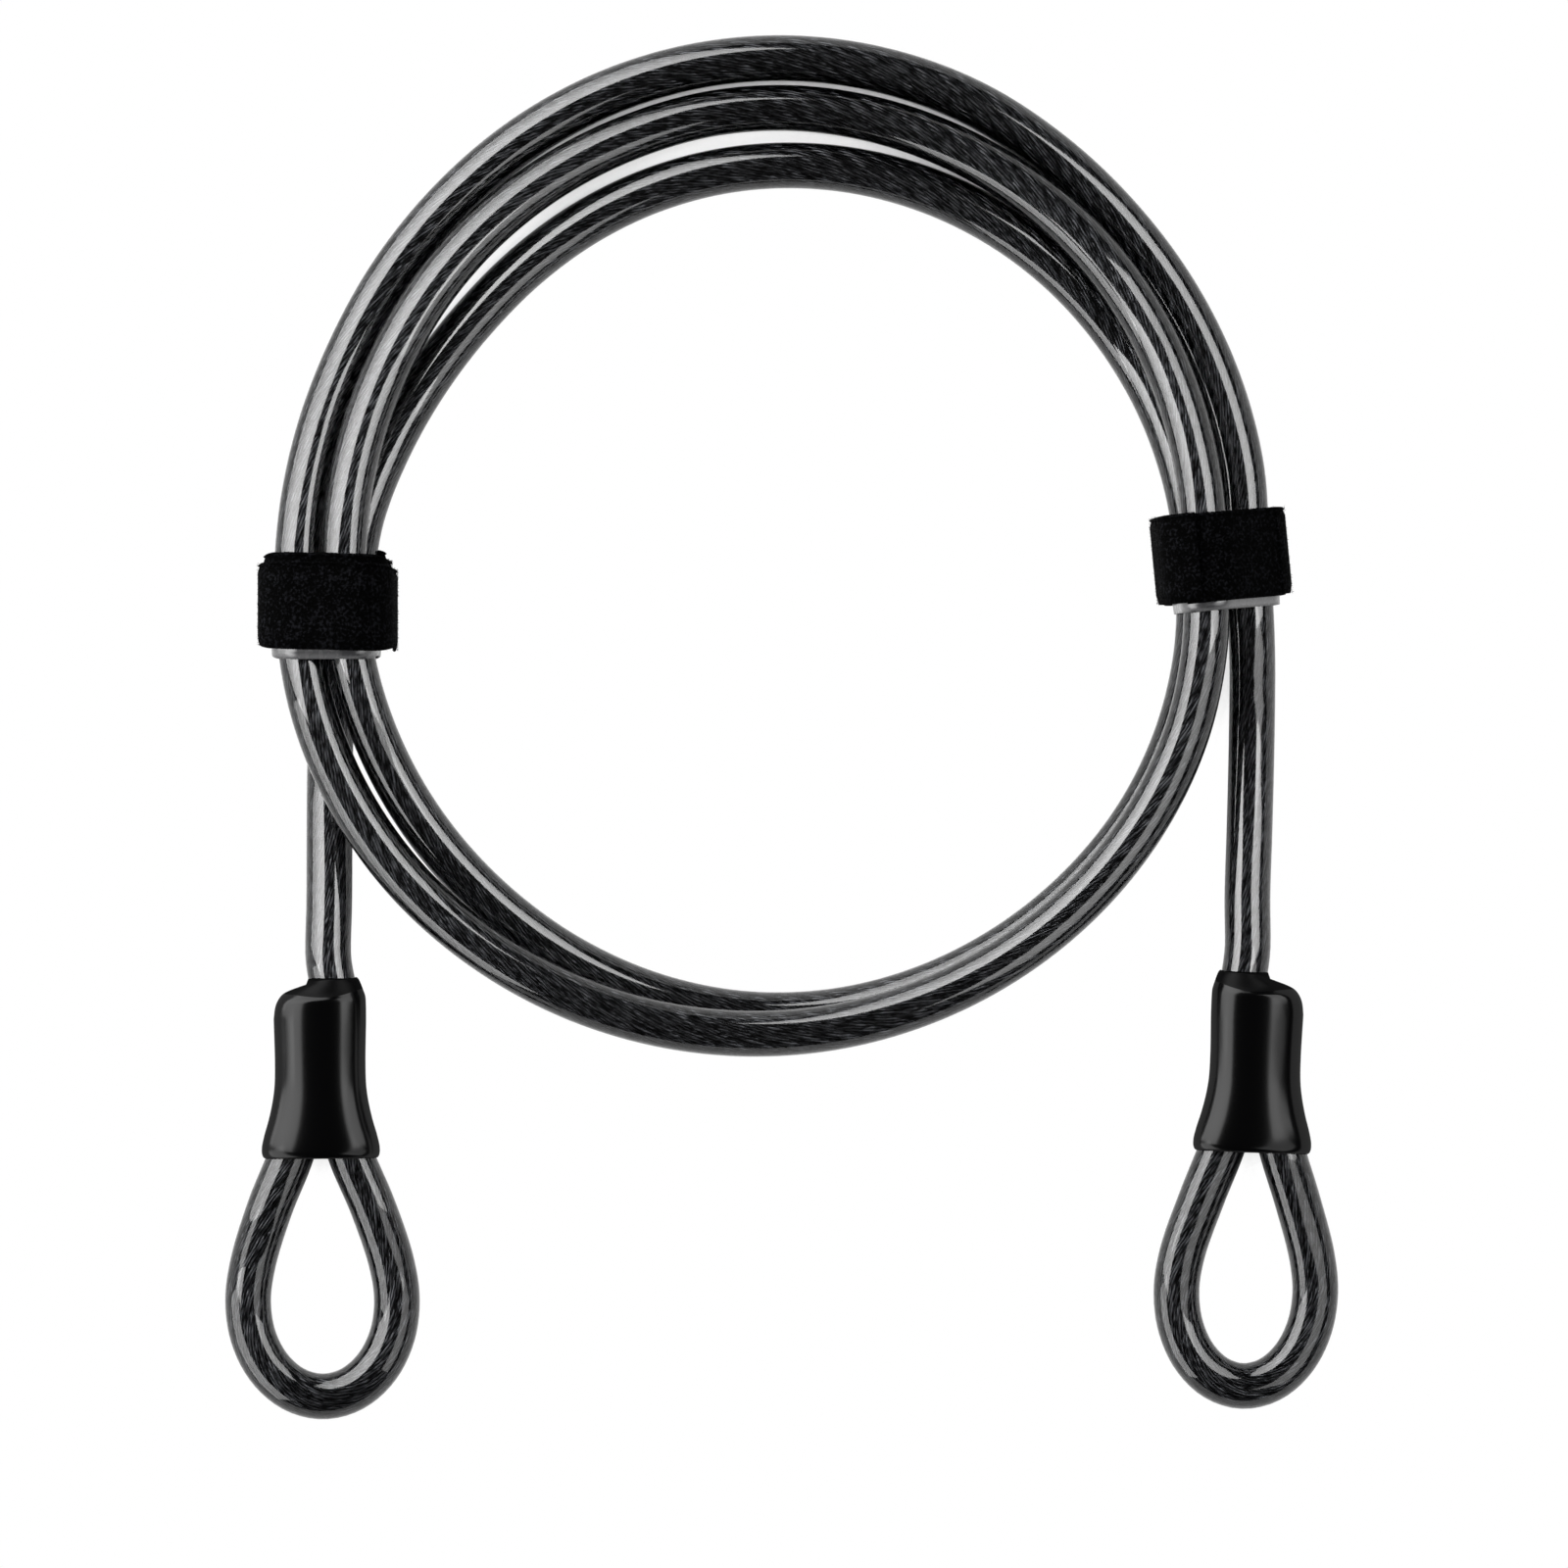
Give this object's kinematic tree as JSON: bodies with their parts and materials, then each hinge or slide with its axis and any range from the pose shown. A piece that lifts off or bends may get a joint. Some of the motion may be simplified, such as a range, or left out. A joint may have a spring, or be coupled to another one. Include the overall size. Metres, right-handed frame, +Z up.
{
  "type": "cable lock",
  "caption": "Coiled security cable: steel rope in a clear smoke jacket, with a sleeved and crimped eye at each end, tied by hook-and-loop straps.",
  "frame": {"origin": "below the middle of everything, on the floor that the coil lies on", "axes": "+Z up from the floor; +Y in the plane of the coil, from the eyes towards the coil; +X across, from the left tail to the right tail"},
  "size_m": [0.242, 0.3012, 0.0291],
  "materials": {
    "jacket": "clear smoke PVC, glossy",
    "rope": "twisted galvanised steel strands",
    "ferrule": "pressed, dull",
    "sleeve": "moulded, glossy black",
    "tape": "black brushed loop pile",
    "band": "smooth grey backing with a soft sheen"
  },
  "bodies": {
    "cable": {"left_tail_rope": "rope", "left_tail_jacket": "jacket", "coil_rope": "rope", "coil_jacket": "jacket", "right_tail_rope": "rope", "right_tail_jacket": "jacket", "left_ferrule": "ferrule", "left_sleeve": "sleeve", "left_eye_rope": "rope", "left_eye_jacket": "jacket", "right_ferrule": "ferrule", "right_sleeve": "sleeve", "right_eye_rope": "rope", "right_eye_jacket": "jacket", "left_strap_band": "band", "left_strap_tape": "tape", "right_strap_band": "band", "right_strap_tape": "tape"},
    "left_strap_flap": {"left_strap_free_end": "tape"},
    "right_strap_flap": {"right_strap_free_end": "tape"}
  },
  "joints": [
    {"name": "left_strap_peel", "type": "hinge", "parent": "cable", "child": "left_strap_flap", "pos_m": [-0.08818, 0.0269, 0.02734], "axis": [0, -1, 0], "range_deg": [0, 120]},
    {"name": "right_strap_peel", "type": "hinge", "parent": "cable", "child": "right_strap_flap", "pos_m": [0.08179, 0.03524, 0.0216], "axis": [0.0958, -0.9954, 0], "range_deg": [0, 120]}
  ]
}
